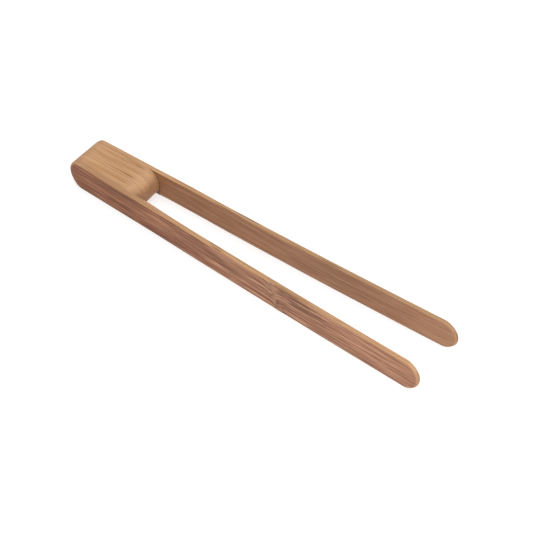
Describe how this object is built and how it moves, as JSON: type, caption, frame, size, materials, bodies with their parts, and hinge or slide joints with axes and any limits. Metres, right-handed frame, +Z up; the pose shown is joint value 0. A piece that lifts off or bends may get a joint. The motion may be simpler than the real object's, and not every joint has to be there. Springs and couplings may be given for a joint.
{
  "type": "kitchen tongs",
  "caption": "Bamboo kitchen tongs: two flat springy arms glued to a rounded spacer block, opening to rounded tips that grip food and spring back apart.",
  "frame": {"origin": "middle of the object's box in plan, on the plane that its long edges rest on", "axes": "+X from the closed end to the tips, +Y towards the left arm, +Z up, across the height of the arms"},
  "size_m": [0.28, 0.0452, 0.0224],
  "materials": {
    "bamboo_strip": "carbonised bamboo, sanded and lightly oiled, fibres along the strip, satin",
    "bamboo_slat": "carbonised bamboo, sanded, satin",
    "glue": "hard clear-brown glue line"
  },
  "bodies": {
    "handle": {"spacer_slat_centre": "bamboo_slat", "spacer_slat_left": "bamboo_slat", "spacer_slat_right": "bamboo_slat", "glue_line_left_slat": "glue", "glue_line_right_slat": "glue", "glue_line_left_arm": "glue", "glue_line_right_arm": "glue", "left_arm_root": "bamboo_strip", "right_arm_root": "bamboo_strip"},
    "left_arm": {"left_arm": "bamboo_strip"},
    "right_arm": {"right_arm": "bamboo_strip"}
  },
  "joints": [
    {"name": "left_arm_flex", "type": "hinge", "parent": "handle", "child": "left_arm", "pos_m": [-0.05312, 0.015, 0.0102], "axis": [0, 0, -1], "range_deg": [-2, 5.65], "stiffness_Nm_per_rad": 6.3},
    {"name": "right_arm_flex", "type": "hinge", "parent": "handle", "child": "right_arm", "pos_m": [-0.05312, -0.015, 0.0102], "axis": [0, 0, 1], "range_deg": [-2, 5.65], "stiffness_Nm_per_rad": 6.3}
  ]
}
